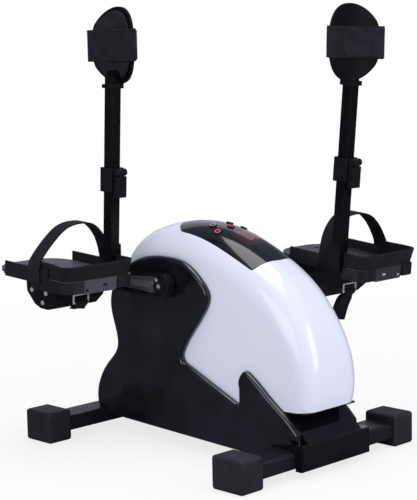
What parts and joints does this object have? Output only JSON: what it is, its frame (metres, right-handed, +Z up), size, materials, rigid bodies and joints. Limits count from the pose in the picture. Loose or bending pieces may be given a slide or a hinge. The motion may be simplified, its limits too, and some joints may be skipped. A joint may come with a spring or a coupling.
{
  "type": "active passive pedal trainer",
  "caption": "Free-standing motorised pedal trainer with white and black housing, strapped foot plates and padded calf supports on sliding posts",
  "frame": {"origin": "floor level below the centre of the part's box", "axes": "+X towards the seated user and the front flange, +Y towards the pedal named right, +Z up"},
  "size_m": [0.5044, 0.525, 0.6999],
  "materials": {
    "frame_steel": "satin black powder coat",
    "cap_rubber": "matte moulded rubber",
    "tread_rubber": "matte grey, fine grain",
    "white_shell": "gloss white moulding",
    "gloss_black": "high gloss black moulding",
    "display_glass": "clear display window",
    "dark_plastic": "fine grained dark plastic",
    "black_arm": "gloss black enamel",
    "bright_steel": "zinc plated",
    "motor_aluminium": "plain can",
    "belt_rubber": "ribbed drive belt",
    "board_green": "green printed board",
    "webbing": "woven navy-black webbing",
    "pad_fabric": "padded knit",
    "key_grey": "soft grey key",
    "key_red": "soft red key"
  },
  "bodies": {
    "machine": {"base_frame": "frame_steel", "front_stabiliser": "frame_steel", "rear_stabiliser": "frame_steel", "foot_caps": "cap_rubber", "left_side_cover": "gloss_black", "right_side_cover": "gloss_black", "front_base_cover": "gloss_black", "rear_cover": "gloss_black", "upper_shell": "white_shell", "control_panel": "gloss_black", "display_window": "display_glass", "display_module": "dark_plastic", "power_inlet": "dark_plastic", "left_axle_stand": "frame_steel", "right_axle_stand": "frame_steel", "axle_bearings": "bright_steel", "drive_belt": "belt_rubber", "motor_body": "motor_aluminium", "control_board": "board_green"},
    "crank": {"crank_axle": "bright_steel", "crank_pulley": "dark_plastic", "left_crank_arm": "black_arm", "right_crank_arm": "black_arm", "crank_bolts": "bright_steel", "left_pedal_spindle": "bright_steel", "right_pedal_spindle": "bright_steel"},
    "motor_shaft": {"motor_pulley": "bright_steel"},
    "left_pedal": {"left_pedal_block": "dark_plastic", "left_foot_plate": "frame_steel", "left_foot_tread": "tread_rubber", "left_pedal_screws": "bright_steel", "left_heel_band": "webbing", "left_strap_ring": "bright_steel", "left_instep_strap": "webbing", "left_lower_post": "frame_steel", "left_post_collar": "dark_plastic"},
    "left_leg_rest": {"left_upper_post": "frame_steel", "left_calf_shell": "dark_plastic", "left_calf_pad": "pad_fabric", "left_calf_strap": "webbing"},
    "left_lever": {"left_clamp_lever": "dark_plastic"},
    "right_pedal": {"right_pedal_block": "dark_plastic", "right_foot_plate": "frame_steel", "right_foot_tread": "tread_rubber", "right_pedal_screws": "bright_steel", "right_heel_band": "webbing", "right_strap_ring": "bright_steel", "right_instep_strap": "webbing", "right_lower_post": "frame_steel", "right_post_collar": "dark_plastic"},
    "right_leg_rest": {"right_upper_post": "frame_steel", "right_calf_shell": "dark_plastic", "right_calf_pad": "pad_fabric", "right_calf_strap": "webbing"},
    "right_lever": {"right_clamp_lever": "dark_plastic"},
    "start_key_body": {"start_key": "key_red"},
    "direction_key_body": {"direction_key": "key_grey"},
    "slower_key_body": {"slower_key": "key_grey"},
    "power_key_body": {"power_key": "key_red"},
    "faster_key_body": {"faster_key": "key_grey"}
  },
  "joints": [
    {"name": "crank_spin", "type": "hinge", "parent": "machine", "child": "crank", "pos_m": [-0.036, 0, 0.262], "axis": [0, 1, 0], "continuous": true},
    {"name": "motor_spin", "type": "hinge", "parent": "machine", "child": "motor_shaft", "pos_m": [0.108, 0, 0.122], "axis": [0, 1, 0], "continuous": true},
    {"name": "left_pedal_spin", "type": "hinge", "parent": "crank", "child": "left_pedal", "pos_m": [-0.166, -0.16, 0.262], "axis": [0, 1, 0], "continuous": true},
    {"name": "left_leg_rest_slide", "type": "slide", "parent": "left_pedal", "child": "left_leg_rest", "axis": [0.061, 0, 0.9981], "range_m": [0, 0.07]},
    {"name": "left_lever_turn", "type": "hinge", "parent": "left_pedal", "child": "left_lever", "pos_m": [-0.08018, -0.1255, 0.4431], "axis": [0, -1, 0], "range_deg": [0, 100]},
    {"name": "right_pedal_spin", "type": "hinge", "parent": "crank", "child": "right_pedal", "pos_m": [0.094, 0.16, 0.262], "axis": [0, 1, 0], "continuous": true},
    {"name": "right_leg_rest_slide", "type": "slide", "parent": "right_pedal", "child": "right_leg_rest", "axis": [0.0993, 0, 0.9951], "range_m": [0, 0.07]},
    {"name": "right_lever_turn", "type": "hinge", "parent": "right_pedal", "child": "right_lever", "pos_m": [0.1879, 0.1255, 0.45161], "axis": [0, -1, 0], "range_deg": [0, 100]},
    {"name": "start_key_press", "type": "slide", "parent": "machine", "child": "start_key_body", "axis": [-0.1407, 0.243, -0.9598], "range_m": [0, 0.0012], "stiffness_N_per_m": 600, "springref_m": -0.0005},
    {"name": "direction_key_press", "type": "slide", "parent": "machine", "child": "direction_key_body", "axis": [-0.1407, -0.243, -0.9598], "range_m": [0, 0.0012], "stiffness_N_per_m": 600, "springref_m": -0.0005},
    {"name": "slower_key_press", "type": "slide", "parent": "machine", "child": "slower_key_body", "axis": [-0.2089, 0.4187, -0.8838], "range_m": [0, 0.0012], "stiffness_N_per_m": 600, "springref_m": -0.0005},
    {"name": "power_key_press", "type": "slide", "parent": "machine", "child": "power_key_body", "axis": [-0.2318, 0, -0.9728], "range_m": [0, 0.0012], "stiffness_N_per_m": 600, "springref_m": -0.0005},
    {"name": "faster_key_press", "type": "slide", "parent": "machine", "child": "faster_key_body", "axis": [-0.2089, -0.4187, -0.8838], "range_m": [0, 0.0012], "stiffness_N_per_m": 600, "springref_m": -0.0005}
  ],
  "couplings": [
    {"joint": "motor_spin", "follows": "crank_spin", "ratio": 4.2857},
    {"joint": "left_pedal_spin", "follows": "crank_spin", "ratio": -1},
    {"joint": "right_pedal_spin", "follows": "crank_spin", "ratio": -1}
  ]
}
